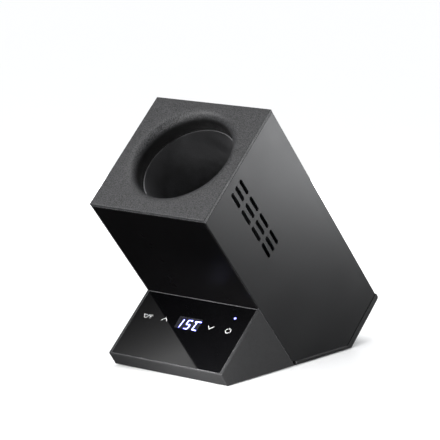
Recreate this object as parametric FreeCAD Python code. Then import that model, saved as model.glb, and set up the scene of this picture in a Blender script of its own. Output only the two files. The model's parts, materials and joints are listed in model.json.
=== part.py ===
import FreeCAD, Part
import math
import os

# A single-bottle table cooler, in millimetres, with +Z up.
# The origin is at the middle of the footprint, at the bottom of the rubber feet.
# The cabinet is a square box that leans towards the user, cut off level at its lower front corner.
# Three working frames are used, each turned into the object's own frame by a function below:
#   upright: the object's frame before it is centred; Y = Z = 0 where the front face meets the ground
#   cabinet: Z along the cabinet's long axis, Y from its front face to its back, X across
#   panel:   Z out of the touch glass, Y up its slope, Y = 0 where it meets the front face

Vector = FreeCAD.Vector

# ---- driving dimensions ----
tilt = 43.0                 # lean of the cabinet's axis from vertical, degrees
panel_slope = 42.0          # slope of the touch glass from level, degrees
body_width = 130.0
body_depth = 131.0
front_length = 213.5        # front face, from its top edge to the ground
back_length = 269.5         # back panel, from the top face to the panel's lower edge
rim_length = 8.0            # tray rim that shows below the back panel
panel_lift = 5.3            # lower edge of the side panels above the ground
foot_proud = 1.2            # how far the rubber feet hold the tray off the ground
groove = 1.0                # shadow gap between the painted panels and the tray rim
sheet = 1.0                 # painted steel sheet
plastic = 2.5               # wall of the larger mouldings
seam = 0.3                  # gap between neighbouring covers
valley = 87.2               # from the ground up the front face to the touch glass
panel_length = 75.7         # slope length of the console's top
lip_lean = 39.4             # lean of the console's front lip, degrees from vertical

cover_edge = 3.0            # visible edge of the top cover
cover_round = 0.8           # outer edges of the top cover
panel_round = 0.35          # folded and cut edges of the painted panels
moulding_round = 0.6        # outer edges of the console
rim_round = 3.0
rim_proud = 1.6             # how far the tray rim stands out behind the back panel

well_depth_from_front = 68.6
mouth_radius = 47.2         # opening in the top cover
mouth_round = 9.0           # bell of the mouth
bell_wall = 2.5
collar_depth = 19.0
cup_radius = 45.6           # inside of the cooling cup, for bottles up to 90 mm across
cup_wall = 1.2
cup_floor = 8.0
cup_length = 167.0          # from the cup's rim to its floor
rest_pad_thickness = 3.0    # let into the floor, so the wall runs down to the pad's top
insulation_radius = 57.0
mouth_to_rim = 20.0         # from the top face down to the cup's rim

vent_columns = (41.9, 49.8, 57.8)
vent_rows = 4
vent_first = 12.9           # top of the first row below the top face
vent_pitch = 23.4
vent_length = 18.9
vent_width = 4.3

peltier_side = 40.0
peltier_height = 3.6
block_height = 12.0
pad_thickness = 0.2
sink_base = 5.0
fin_height = 24.9
fin_pitch = 6.2
fin_count = 13
fin_thickness = 1.2
sink_half_width = 40.0

fan_side = 70.0
fan_height = 15.0
fan_centre = 89.0
fan_bore = 33.5
blade_tip = 32.2
blade_count = 7
hub_radius = 14.0
shaft_radius = 1.5
bearing_clearance = 0.03
fan_screw_offset = 31.0

glass_half_width = 62.2
glass_thickness = 1.8
glass_top = 1.0             # from the front face down the slope to the glass
glass_bottom = 74.4
key_x = (-47.5, -27.0, 25.5, 45.8)
key_y = -28.7
status_x = 45.3
status_y = -14.2

# ---- derived ----
half_width = body_width / 2
cos_tilt = math.cos(math.radians(tilt))
sin_tilt = math.sin(math.radians(tilt))
cos_slope = math.cos(math.radians(panel_slope))
sin_slope = math.sin(math.radians(panel_slope))
back_bottom = front_length - back_length
tray_end = back_bottom - rim_length
panel_top = front_length - cover_edge - seam
inner_half = half_width - sheet
front_thickness = 3.0
cup_rim = front_length - mouth_to_rim
cup_bottom = cup_rim - cup_length
block_top = cup_bottom - cup_floor
block_bottom = block_top - block_height
peltier_bottom = block_bottom - peltier_height
sink_bottom = peltier_bottom - sink_base
fin_bottom = sink_bottom - fin_height
fan_top = fin_bottom
fan_bottom = fan_top - fan_height
fan_back_fin = fan_centre + fan_screw_offset + fin_pitch / 2
first_fin = fan_back_fin - (fin_count - 1) * fin_pitch
block_centre = (first_fin + fin_pitch / 2 + first_fin + 8.5 * fin_pitch) / 2
tray_floor = foot_proud + plastic
end_inside = tray_end + plastic

# the rearmost and foremost points give the middle of the footprint
rear_reach = (body_depth + rim_proud - rim_round) * cos_tilt - (tray_end + rim_round) * sin_tilt + rim_round
front_reach = cover_round * cos_tilt - (front_length - cover_round) * sin_tilt - cover_round
centre_shift = -(rear_reach + front_reach) / 2

valley_y = -valley * sin_tilt
valley_z = valley * cos_tilt
lip_y = valley_y - panel_length * cos_slope
lip_z = valley_z - panel_length * sin_slope


# ---- shapes ----
def box(x0, x1, y0, y1, z0, z1):
    return Part.makeBox(x1 - x0, y1 - y0, z1 - z0, Vector(x0, y0, z0))


def rod(x, y, z0, z1, radius):
    return Part.makeCylinder(radius, z1 - z0, Vector(x, y, z0))


def tube(x, y, z0, z1, inner, outer):
    return rod(x, y, z0, z1, outer).cut(rod(x, y, z0 - 1, z1 + 1, inner))


def cross_rod(x0, x1, y, z, radius):
    return Part.makeCylinder(radius, x1 - x0, Vector(x0, y, z), Vector(1, 0, 0))


def prism(outline, x0, x1):
    """Side-view outline of (y, z) points, carried across from x0 to x1."""
    points = [Vector(x0, y, z) for y, z in outline]
    return Part.Face(Part.makePolygon(points + points[:1])).extrude(Vector(x1 - x0, 0, 0))


def join(shapes):
    shapes = list(shapes)
    return shapes[0].multiFuse(shapes[1:]).removeSplitter() if len(shapes) > 1 else shapes[0]


def group(shapes):
    return Part.makeCompound(list(shapes))


def cut_all(shape, tools):
    return shape.cut(group(tools)) if tools else shape


def mirrored(shape):
    return shape.mirror(Vector(0, 0, 0), Vector(1, 0, 0))


def both_sides(shape):
    return [shape, mirrored(shape)]


def soften(shape, size, chosen):
    """Round the edges that the test function chooses."""
    return shape.makeFillet(size, [edge for edge in shape.Edges if chosen(edge)])


# ---- frames ----
def from_upright(shape):
    shape = shape.copy()
    shape.translate(Vector(0, centre_shift, 0))
    return shape


def in_upright(cabinet_shape):
    """Cabinet frame to upright frame."""
    shape = cabinet_shape.copy()
    shape.rotate(Vector(0, 0, 0), Vector(1, 0, 0), tilt)
    return shape


def placed_panel(panel_shape):
    """Panel frame to upright frame."""
    shape = panel_shape.copy()
    shape.rotate(Vector(0, 0, 0), Vector(1, 0, 0), panel_slope)
    shape.translate(Vector(0, valley_y, valley_z))
    return shape


def from_cabinet(shape):
    return from_upright(in_upright(shape))


def from_panel(shape):
    return from_upright(placed_panel(shape))


def cabinet_point(x, y, z):
    """A cabinet-frame point in the upright frame."""
    return Vector(x, y * cos_tilt - z * sin_tilt, y * sin_tilt + z * cos_tilt)


def panel_point(x, y, z):
    """A panel-frame point in the upright frame."""
    return Vector(x, valley_y + y * cos_slope - z * sin_slope, valley_z + y * sin_slope + z * cos_slope)


def level_height(y, height):
    """Cabinet Z at depth y where the upright height is the one given."""
    return (height - y * sin_tilt) / cos_tilt


def level_depth(z, height):
    """Cabinet Y at cabinet height z where the upright height is the one given."""
    return (height - z * cos_tilt) / sin_tilt


# ---- outer shell ----
def vent_slot(y, top):
    radius = vent_width / 2
    low = top - vent_length + radius
    high = top - radius
    middle = box(inner_half - 1, half_width + 1, y - radius, y + radius, low, high)
    ends = [cross_rod(inner_half - 1, half_width + 1, y, z, radius) for z in (low, high)]
    return join([middle] + ends)


def side_panel():
    outline = [
        (0, level_height(0, panel_lift)),
        (0, panel_top),
        (body_depth, panel_top),
        (body_depth, back_bottom),
        (level_depth(back_bottom, panel_lift), back_bottom),
    ]
    panel = prism(outline, inner_half, half_width)
    panel = soften(panel, panel_round, lambda e: all(abs(v.X - half_width) < 0.01 for v in e.Vertexes))
    tops = [front_length - vent_first - row * vent_pitch for row in range(vent_rows)]
    return cut_all(panel, [vent_slot(y, top) for y in vent_columns for top in tops])


back_screw_heights = (185.0, 70.0, -48.5)
back_screw_x = 57.0
back_screw_clear = 1.6      # radius of the clearance holes
back_screw_pilot = 1.3      # radius of the threaded holes
back_screw_places = [(side * back_screw_x, z) for z in back_screw_heights for side in (-1, 1)]


def along_depth(x, z, y0, y1, radius):
    return Part.makeCylinder(radius, y1 - y0, Vector(x, y0, z), Vector(0, 1, 0))


def back_panel():
    edge = inner_half - seam
    panel = box(-edge, edge, body_depth - sheet, body_depth, back_bottom, panel_top)
    panel = soften(panel, panel_round, lambda e: all(abs(v.Y - body_depth) < 0.01 for v in e.Vertexes))
    holes = [along_depth(x, z, body_depth - 3, body_depth + 1, back_screw_clear)
             for x, z in back_screw_places]
    return cut_all(panel, holes)


head_rounding = 0.35        # of the head's height
cross_reach = 0.62          # of the head's radius
cross_depth = 0.6           # of the head's height
cross_half_width = 0.3


def screw(shank_radius, shank_length, head_radius, head_height):
    """Cross-recessed screw: the head's underside at Z = 0, the shank pointing down."""
    head = rod(0, 0, 0, head_height, head_radius)
    head = soften(head, head_height * head_rounding,
                  lambda e: e.CenterOfMass.z > head_height - 0.01 and e.Closed)
    reach = head_radius * cross_reach
    low = head_height * (1 - cross_depth)
    cross = [
        box(-reach, reach, -cross_half_width, cross_half_width, low, head_height + 1),
        box(-cross_half_width, cross_half_width, -reach, reach, low, head_height + 1),
    ]
    return join([cut_all(head, cross), rod(0, 0, -shank_length, 0, shank_radius)])


def placed(shape, axis, place):
    """Turn a +Z shape to point along the axis and set it at the place."""
    shape = shape.copy()
    shape.Placement = FreeCAD.Placement(place, FreeCAD.Rotation(Vector(0, 0, 1), axis))
    return shape


def back_panel_screws():
    fastener = screw(1.25, 8.0, 2.8, 1.6)
    return group(placed(fastener, Vector(0, 1, 0), Vector(x, body_depth, z)) for x, z in back_screw_places)


front_gap = 0.6
front_edge = inner_half - front_gap
front_bottom = 70.0


def front_panel():
    panel = box(-front_edge, front_edge, 0, front_thickness, front_bottom, panel_top)
    return soften(panel, moulding_round, lambda e: all(abs(v.Y) < 0.01 for v in e.Vertexes))


skirt_drop = 8.0
skirt_gap = 0.6
skirt_wall = 2.0
skirt_front = 3.5
skirt_back = 129.4
bell_round = 7.0
boss_radius = 3.5
boss_pilot = 1.3
boss_pilot_depth = 11.0
boss_front = 12.0
boss_back = 119.0
boss_x = 55.0
tab_height = 189.0
tab_sheet = 1.2
boss_places = [(side * boss_x, y) for side in (-1, 1) for y in (boss_front, boss_back)]


def top_cover():
    low = front_length - cover_edge
    plate = box(-half_width, half_width, 0, body_depth, low, front_length)
    plate = soften(plate, cover_round, lambda e: all(abs(v.Z - front_length) < 0.01 for v in e.Vertexes))
    collar = rod(0, well_depth_from_front, front_length - collar_depth, low, mouth_radius + plastic)
    bell_bottom = front_length - mouth_round - bell_wall
    bell = rod(0, well_depth_from_front, bell_bottom, low, mouth_radius + mouth_round + bell_wall)
    bell = soften(bell, bell_round, lambda e: e.Closed and e.CenterOfMass.z < bell_bottom + 0.01)
    outer = inner_half - skirt_gap
    inner = outer - skirt_wall
    skirt = box(-outer, outer, skirt_front, skirt_back, low - skirt_drop, low)
    skirt = skirt.cut(box(-inner, inner, skirt_front + skirt_wall, skirt_back - skirt_wall,
                          low - skirt_drop - 1, low + 1))
    bosses = [rod(x, y, tab_height + tab_sheet, low, boss_radius) for x, y in boss_places]
    cover = join([plate, collar, bell, skirt] + bosses)
    cover = cover.cut(rod(0, well_depth_from_front, cup_rim, front_length + 1, mouth_radius))
    cover = cut_all(cover, [rod(x, y, tab_height, tab_height + boss_pilot_depth, boss_pilot)
                            for x, y in boss_places])
    mouth = [
        edge
        for edge in cover.Edges
        if edge.Closed and abs(edge.Curve.Radius - mouth_radius) < 0.01
        and abs(edge.CenterOfMass.z - front_length) < 0.01
    ]
    return cover.makeFillet(mouth_round, mouth)


rail_reach = 10.0
rail_top = 201.5
front_rail_bottom = 14.0
back_rail_bottom = -42.0
tab_width = 14.0
tab_reach = 15.0
tab_hole = 1.5


def rail(y_wall, inward, bottom):
    """One L-section rail in the right-hand side's corner, with a tab for a cover screw."""
    outer = inner_half
    face = box(outer - rail_reach, outer, min(y_wall, y_wall + inward), max(y_wall, y_wall + inward),
               bottom, rail_top)
    leg_end = y_wall + inward * rail_reach
    leg = box(outer - sheet, outer, min(y_wall, leg_end), max(y_wall, leg_end), bottom, rail_top)
    tab_end = y_wall + inward * tab_reach
    tab = box(outer - tab_width, outer, min(y_wall, tab_end), max(y_wall, tab_end),
              tab_height, tab_height + tab_sheet)
    return join([face, leg, tab])


def side_rails():
    front = rail(front_thickness, 1, front_rail_bottom)
    back = rail(body_depth - sheet, -1, back_rail_bottom)
    holes = [rod(x, y, tab_height - 1, tab_height + 3, tab_hole) for x, y in boss_places]
    holes += [along_depth(x, z, body_depth - 5, body_depth, back_screw_pilot) for x, z in back_screw_places]
    return group(cut_all(piece, holes) for piece in both_sides(front) + both_sides(back))


def cover_screws():
    fastener = screw(1.25, 9.0, 2.6, 1.8)
    return group(placed(fastener, Vector(0, 0, -1), Vector(x, y, tab_height)) for x, y in boss_places)


# ---- base tray, upright frame ----
def lower_outline(front, floor, end, back, wall_top, end_top):
    """Side view of a bent strip: along the ground, then up the cabinet's lower end."""
    corner = cabinet_point(0, level_depth(end, floor), end)
    far = cabinet_point(0, back, end)
    far_top = cabinet_point(0, back, end_top)
    inner = cabinet_point(0, level_depth(end_top, wall_top), end_top)
    points = [corner, far, far_top, inner]
    return [(front, floor)] + [(p.y, p.z) for p in points] + [(front, wall_top)]


pin_y = 2.0
pin_z = 3.0
pin_radius = 0.9
band_front = 0.4
upstand_front = 2.0
upstand_back = body_depth - 1.6
upstand_edge = inner_half - 0.4
upstand_wall = 1.8
upstand_height = 10.0
upstand_end = -46.0
grille_half = 43.7
grille_front = 76.3
grille_back = 123.7
grille_gap = 0.3
inlet_x = 53.5
inlet_y = 112.0
inlet_half = 5.5
foot_places = [(x, y) for x in (-48.0, 48.0) for y in (-90.0, 80.0)]
foot_radius = 6.5
foot_pocket = 1.0
column_x = 55.0
column_places = [(side * column_x, y) for side in (-1, 1) for y in (-83.0, -20.0)]
column_screw_clear = 1.6
column_screw_seat = foot_proud + 1.4
column_head_clear = 3.2
console_floor_half = 61.9
console_floor_front = -100.6
post_places = [(x, y) for x in (-44.0, 44.0) for y in (-80.0, -30.0)]
post_radius = 3.0
post_pilot = 1.05
board_level = 9.0
console_wall = 2.2


def upright_rods(places, z0, z1, radius):
    return [rod(x, y, z0, z1, radius) for x, y in places]


def base_tray():
    band_top = panel_lift - groove
    band_back = body_depth + rim_proud
    band_end = back_bottom - groove
    band = prism(lower_outline(band_front, foot_proud, tray_end, band_back, band_top, band_end),
                 -half_width, half_width)
    for height, radius in ((tray_end, rim_round), (band_end, rim_round / 2)):
        corner = cabinet_point(0, band_back, height)
        band = soften(band, radius, lambda e: all(abs(v.Y - corner.y) < 0.01 and abs(v.Z - corner.z) < 0.01
                                                  for v in e.Vertexes))
    band = soften(band, panel_round, lambda e: all(abs(abs(v.X) - half_width) < 0.01 for v in e.Vertexes)
                  and e.BoundBox.XLength < 1)
    upstand = prism(lower_outline(upstand_front, tray_floor, end_inside, upstand_back,
                                  upstand_height, upstand_end),
                    -upstand_edge, upstand_edge)
    inside_edge = upstand_edge - upstand_wall
    inside = prism(lower_outline(-1.0, tray_floor, end_inside, upstand_back - upstand_wall, 60, 60),
                   -inside_edge, inside_edge)
    console_floor = box(-console_floor_half, console_floor_half, console_floor_front, 0.5,
                        foot_proud, tray_floor)
    posts = upright_rods(post_places, tray_floor, board_level, post_radius)
    tray = join([band.fuse(upstand).cut(inside), console_floor] + posts)
    holes = upright_rods(foot_places, 0, foot_proud + foot_pocket, foot_radius)
    holes += upright_rods(column_places, 0, tray_floor + 1, column_screw_clear)
    holes += upright_rods(column_places, 0, column_screw_seat, column_head_clear)
    holes += upright_rods(post_places, tray_floor + 0.5, board_level + 1, post_pilot)
    holes += [cross_rod(side * half_width - 4, side * half_width + 4, pin_y, pin_z, pin_radius)
              for side in (-1, 1)]
    window = box(-grille_half - grille_gap, grille_half + grille_gap, grille_front - grille_gap,
                 grille_back + grille_gap, tray_end - 1, end_inside + 1)
    inlet = box(inlet_x - inlet_half, inlet_x + inlet_half, inlet_y - inlet_half, inlet_y + inlet_half,
                tray_end - 1, end_inside + 1)
    lower_screws = [along_depth(x, z, body_depth - 5, body_depth + 1, back_screw_pilot)
                    for x, z in back_screw_places if z < upstand_end]
    holes += [in_upright(shape) for shape in [window, inlet] + lower_screws]
    return cut_all(tray, holes)


grille_lip = 2.0            # flange round the grille, inside the tray
grille_slot_columns = (-28.0, 0.0, 28.0)
grille_slot_rows = 7
grille_slot_pitch = 6.4
grille_slot_start = 4.5
grille_slot_reach = 12.5    # from a slot's middle to the centre of its rounded end
grille_slot_radius = 1.7


def intake_grille():
    plate = box(-grille_half, grille_half, grille_front, grille_back, tray_end, end_inside)
    flange = box(-grille_half - grille_lip, grille_half + grille_lip, grille_front - grille_lip,
                 grille_back + grille_lip, end_inside, end_inside + 1.0)
    shape = join([plate, flange])
    slots = []
    low = tray_end - 1
    high = end_inside + 2
    for middle in grille_slot_columns:
        ends = (middle - grille_slot_reach, middle + grille_slot_reach)
        for row in range(grille_slot_rows):
            y = grille_front + grille_slot_start + row * grille_slot_pitch
            slots.append(box(ends[0], ends[1], y - grille_slot_radius, y + grille_slot_radius, low, high))
            slots += [rod(x, y, low, high, grille_slot_radius) for x in ends]
    return cut_all(shape, slots)


foot_rounding = 0.5


def rubber_feet():
    feet = []
    for x, y in foot_places:
        foot = rod(x, y, 0, foot_proud + foot_pocket, foot_radius)
        feet.append(soften(foot, foot_rounding, lambda e: e.Closed and e.CenterOfMass.z < 0.01))
    return group(feet)


def tray_screws():
    fastener = screw(1.4, 9.0, 2.8, 1.3)
    return group(placed(fastener, Vector(0, 0, -1), Vector(x, y, column_screw_seat))
                 for x, y in column_places)


pin_length = 3.2


def corner_pins():
    return group(both_sides(cross_rod(half_width - pin_length, half_width, pin_y, pin_z, pin_radius)))


inlet_length = 14.0
inlet_flange = 7.0          # half the flange's side
inlet_bore = 2.75
inlet_bore_depth = 9.5
inlet_pin = 1.0


def inlet_square(half, low, high):
    return box(inlet_x - half, inlet_x + half, inlet_y - half, inlet_y + half, low, high)


def dc_inlet():
    body = inlet_square(inlet_half, tray_end, tray_end + inlet_length)
    flange = inlet_square(inlet_flange, end_inside, end_inside + 1.5)
    bore_end = tray_end + inlet_bore_depth
    shape = join([body, flange]).cut(rod(inlet_x, inlet_y, tray_end - 1, bore_end, inlet_bore))
    shape = shape.fuse(rod(inlet_x, inlet_y, tray_end + 1, bore_end + 0.1, inlet_pin))
    return in_upright(shape)


# ---- console ----
deck_thickness = 1.5
pcb = 1.6
board_gap = 8.2             # from the glass face down to the control board
glass_sunk = 0.1            # glass face below the panel plane
glass_under = -glass_sunk - glass_thickness
boss_x_panel = 50.0
panel_bosses = [(side * boss_x_panel, y) for side in (-1, 1) for y in (-18.0, -60.0)]
lip_round = 1.2
column_radius = 3.6
column_top = 18.0
column_pilot = 1.45
column_pilot_depth = 9.0
rib_half = 0.8
glass_gap = 0.15
window_gap = 0.4
status_hole = 1.6
key_hole = 5.0
panel_boss_radius = 3.0
panel_boss_pilot = 1.05
display_half = 13.5
display_low = -36.0
display_high = -21.5


def console_housing():
    lean = math.tan(math.radians(lip_lean))
    bottom_y = lip_y + (lip_z - foot_proud) * lean
    outline = [
        (valley_y - seam * cos_tilt, valley_z - seam * sin_tilt),
        (lip_y, lip_z),
        (bottom_y, foot_proud),
        (-foot_proud * sin_tilt / cos_tilt - seam / cos_tilt, foot_proud),
    ]
    shell = prism(outline, -half_width, half_width)
    shell = soften(shell, lip_round, lambda e: all(abs(v.Y - lip_y) < 0.01 and abs(v.Z - lip_z) < 0.01
                                                   for v in e.Vertexes))
    # the two side outlines of the sloping top and the lip
    shell = soften(shell, moulding_round, lambda e: e.BoundBox.XLength < 1 and e.BoundBox.YMax < valley_y + 1
                   and e.BoundBox.ZMax > foot_proud + 1)
    hollow_edge = half_width - console_wall
    deck_under = console_wall + 1.2
    down_y = deck_under * sin_slope
    down_z = -deck_under * cos_slope
    # the hollow is open at the bottom and at the back
    hollow = prism([
        (valley_y + down_y + 30 * cos_slope, valley_z + down_z + 30 * sin_slope),
        (lip_y + down_y + 1.6 * cos_slope, lip_z + down_z + 1.6 * sin_slope),
        (bottom_y + console_wall / cos_slope + 1.4, -2),
        (30, -2),
    ], -hollow_edge, hollow_edge)
    columns = upright_rods(column_places, tray_floor, column_top, column_radius)
    ribs = [box(min(x, side_x), max(x, side_x), y - rib_half, y + rib_half, tray_floor, column_top)
            for x, y in column_places
            for side_x in ([hollow_edge + 1] if x > 0 else [-hollow_edge - 1])]
    shell = join([shell.cut(hollow)] + columns + ribs)
    pilots = upright_rods(column_places, tray_floor - 1, tray_floor + column_pilot_depth, column_pilot)
    shell = cut_all(shell, pilots)
    recess = box(-glass_half_width - glass_gap, glass_half_width + glass_gap, -glass_bottom - glass_gap,
                 -glass_top + glass_gap, glass_under, 5)
    window = box(-display_half - window_gap, display_half + window_gap, display_low - window_gap,
                 display_high + window_gap, -9, 1)
    cuts = [recess, window, rod(status_x, status_y, -9, 1, status_hole)]
    cuts += [rod(x, key_y, -9, 1, key_hole) for x in key_x]
    shell = cut_all(shell, [placed_panel(shape) for shape in cuts])
    bosses = [rod(x, y, -board_gap, glass_under - deck_thickness + 0.5, panel_boss_radius)
              for x, y in panel_bosses]
    shell = join([shell] + [placed_panel(shape) for shape in bosses])
    pilots = [rod(x, y, -board_gap - 1, -board_gap + 4, panel_boss_pilot) for x, y in panel_bosses]
    return cut_all(shell, [placed_panel(shape) for shape in pilots])


glass_edge = 0.3
tape = 0.2
tape_inset = 0.4
tape_inner = 4.5


def glass_sheet(inset, low, high):
    """The glass's outline, drawn in by the inset."""
    return box(-glass_half_width + inset, glass_half_width - inset, -glass_bottom + inset, -glass_top - inset,
               low, high)


def touch_glass():
    glass = glass_sheet(0, glass_under + tape, -glass_sunk)
    return soften(glass, glass_edge, lambda e: all(abs(v.Z + glass_sunk) < 0.01 for v in e.Vertexes))


def glass_tape():
    outer = glass_sheet(tape_inset, glass_under, glass_under + tape)
    return outer.cut(glass_sheet(tape_inner, glass_under - 1, glass_under + 1))


board_half = 54.0
board_low = -66.0
board_high = -10.5
board_screw_clear = 1.3
control_socket = 4.5        # height of the ribbon's socket on the control board
supply_socket = 4.0         # and on the power board
lead_socket = 6.0


def control_board():
    board = box(-board_half, board_half, board_low, board_high, -board_gap - pcb, -board_gap)
    board = cut_all(board, [rod(x, y, -20, 0, board_screw_clear) for x, y in panel_bosses])
    chip = box(-6, 6, -54, -42, -board_gap - pcb - 2.0, -board_gap - pcb)
    socket = box(-8, 8, -64, -59, -board_gap - pcb - control_socket, -board_gap - pcb)
    return join([board, chip, socket])


def board_screws():
    fastener = screw(1.0, 5.0, 2.1, 1.3)
    return group(placed(fastener, Vector(0, 0, -1), Vector(x, y, -board_gap - pcb)) for x, y in panel_bosses)


digit_x = (-8.6, 0.0, 8.6)
digit_half = 3.4


def display_module():
    body = box(-display_half, display_half, display_low, display_high, -board_gap, glass_under - 0.3)
    # three wells for the digits, open at the top
    wells = [box(x - digit_half, x + digit_half, display_low + 1.5, display_high - 1.5, glass_under - 2.3, 0)
             for x in digit_x]
    return cut_all(body, wells)


def indicator_leds():
    places = [(status_x, status_y)] + [(x + 6.6, key_y + 4.5) for x in key_x]
    return group(box(x - 0.8, x + 0.8, y - 0.5, y + 0.5, -board_gap, -board_gap + 0.8) for x, y in places)


touch_pad_radius = 4.0


def touch_foam_pads():
    return group(rod(x, key_y, -board_gap, glass_under, touch_pad_radius) for x in key_x)


# ---- power board, upright frame ----
supply_half = 48.0
supply_front = -84.0
supply_back = -26.0


def power_board():
    board = box(-supply_half, supply_half, supply_front, supply_back, board_level, board_level + pcb)
    return cut_all(board, upright_rods(post_places, board_level - 1, board_level + 3, board_screw_clear))


def power_board_parts():
    top = board_level + pcb
    cans = [soften(rod(x, -48, top, top + 16, 5.0), 0.6, lambda e: e.Closed and e.CenterOfMass.z > top + 15.9)
            for x in (-30.0, -17.0)]
    coil = tube(4, -47, top, top + 7, 4.0, 9.0)
    spreader = join([box(22, 38, -56, -54, top, top + 18)]
                    + [box(24 + 3 * i, 25 + 3 * i, -54, -48, top, top + 18) for i in range(5)])
    chips = [box(-36, -26, -74, -66, top, top + 2), box(12, 20, -72, -64, top, top + 2)]
    sockets = [box(x - w, x + w, -34, -28, top, top + lead_socket)
               for x, w in ((37.0, 3.6), (24.0, 3.6), (0.0, 5.5), (-22.0, 3.6))]
    sockets.append(box(-8, 8, -80, -75, top, top + supply_socket))
    return group(cans + [coil, spreader] + chips + sockets)


def power_board_screws():
    fastener = screw(1.0, 4.5, 2.2, 1.3)
    return group(placed(fastener, Vector(0, 0, 1), Vector(x, y, board_level + pcb)) for x, y in post_places)


# ---- well, cabinet frame ----
def well_rod(z0, z1, radius):
    return rod(0, well_depth_from_front, z0, z1, radius)


clamp_places = [(side * 26.0, block_centre + end * 4 * fin_pitch) for side in (-1, 1) for end in (-1, 1)]
clamp_radius = 1.5
clamp_bite = 3.0            # thread in the cup's floor
cup_flange = 5.6            # the cup's flange beyond its bore
insulation_gap = 0.2
rest_pad_radius = 38.0
rest_pad_rings = (10.0, 18.0, 26.0)


def cooling_cup():
    outer = well_rod(block_top, cup_rim, cup_radius + cup_wall)
    flange = well_rod(cup_rim - cup_wall, cup_rim, cup_radius + cup_flange)
    cup = join([outer, flange]).cut(well_rod(cup_bottom, cup_rim + 1, cup_radius))
    cup = cup.cut(well_rod(cup_bottom - rest_pad_thickness, cup_bottom + 1, rest_pad_radius))
    pilots = [rod(x, y, block_top - 1, block_top + clamp_bite + 0.6, clamp_radius + 0.05)
              for x, y in clamp_places]
    return cut_all(cup, pilots)


def cup_gasket():
    return tube(0, well_depth_from_front, cup_rim, front_length - collar_depth, cup_radius + 1.0,
                cup_radius + cup_flange)


def bottle_rest_pad():
    low = cup_bottom - rest_pad_thickness
    high = cup_bottom - 0.1
    pad = well_rod(low, high, rest_pad_radius - 0.2)
    pad = soften(pad, 0.8, lambda e: e.Closed and e.CenterOfMass.z > high - 0.01)
    rings = [tube(0, well_depth_from_front, high - 0.8, high + 1, r, r + 2.0) for r in rest_pad_rings]
    return cut_all(pad, rings)


def insulation_half(front):
    low = block_bottom + block_height
    ring = well_rod(low, cup_rim - cup_wall, insulation_radius).cut(
        well_rod(low - 1, cup_rim, cup_radius + cup_wall + insulation_gap))
    split = well_depth_from_front
    keep = box(-70, 70, 0, split - 0.1, low - 1, cup_rim) if front else box(
        -70, 70, split + 0.1, body_depth, low - 1, cup_rim)
    return ring.common(keep)


sensor_x = 0.0
sensor_y = 33.0
sensor_radius = 2.4


def insulation_base():
    disc = well_rod(block_bottom, block_top, insulation_radius)
    half = peltier_side / 2 + 0.3
    hole = box(-half, half, block_centre - half, block_centre + half, block_bottom - 1, block_top + 1)
    holes = [hole, rod(sensor_x, sensor_y, block_bottom - 1, block_top + 1, sensor_radius + 0.2)]
    holes += [rod(x, y, block_bottom - 1, block_top + 1, clamp_radius + 0.3) for x, y in clamp_places]
    return cut_all(disc, holes)


def temperature_sensor():
    return rod(sensor_x, sensor_y, block_bottom, block_top, sensor_radius)


def square_stack(z0, z1, half):
    return box(-half, half, block_centre - half, block_centre + half, z0, z1)


def cold_block():
    block = square_stack(block_bottom, block_top, peltier_side / 2)
    return soften(block, 0.5, lambda e: abs(e.Vertexes[0].Z - e.Vertexes[1].Z) > 5)


ceramic = 0.8               # plate of the cooling module
filling_inset = 1.5


def peltier_module():
    low = peltier_bottom + pad_thickness
    high = block_bottom - pad_thickness
    half = peltier_side / 2
    plates = [square_stack(low, low + ceramic, half), square_stack(high - ceramic, high, half)]
    filling = square_stack(low + ceramic, high - ceramic, half - filling_inset)
    return join(plates + [filling])


def thermal_pads():
    half = peltier_side / 2
    return group([square_stack(peltier_bottom, peltier_bottom + pad_thickness, half),
                  square_stack(block_bottom - pad_thickness, block_bottom, half)])


sink_margin = 1.7           # base plate beyond the middle of the end fins
clamp_head_clear = 3.2


def heat_sink():
    front = first_fin - sink_margin
    back = fan_back_fin + sink_margin
    base = box(-sink_half_width, sink_half_width, front, back, sink_bottom, peltier_bottom)
    fins = []
    for i in range(fin_count):
        y = first_fin + i * fin_pitch
        fins.append(box(-sink_half_width, sink_half_width, y - fin_thickness / 2, y + fin_thickness / 2,
                        fin_bottom, sink_bottom))
    holes = [rod(x, y, fin_bottom - 1, peltier_bottom + 1, clamp_radius + 0.2) for x, y in clamp_places]
    holes += [rod(x, y, fin_bottom - 1, sink_bottom, clamp_head_clear) for x, y in clamp_places]
    return cut_all(join([base] + fins), holes)


def clamp_screws():
    length = block_top + clamp_bite - sink_bottom
    fastener = screw(clamp_radius, length, 2.7, 1.8)
    return group(placed(fastener, Vector(0, 0, -1), Vector(x, y, sink_bottom)) for x, y in clamp_places)


support_half = 30.0
support_flange = 12.0       # depth of the flanges that hang at the sides
support_window = (44.0, 60.0, 62.0, 92.0)  # x and y limits of the air window at each side


def support_plate():
    low = block_bottom - tab_sheet
    front = block_centre - support_half
    back = block_centre + support_half
    span = box(-inner_half, inner_half, front, back, low, block_bottom)
    span = cut_all(span, both_sides(box(*support_window, low - 1, block_bottom + 1)))
    flanges = both_sides(box(inner_half - tab_sheet, inner_half, front, back,
                             block_bottom - support_flange, block_bottom))
    half = peltier_side / 2 + 0.8
    hole = box(-half, half, block_centre - half, block_centre + half, low - 1, block_bottom + 1)
    holes = [hole] + [rod(x, y, low - 1, block_bottom + 1, clamp_radius + 0.3) for x, y in clamp_places]
    return cut_all(join([span] + flanges), holes)


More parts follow.
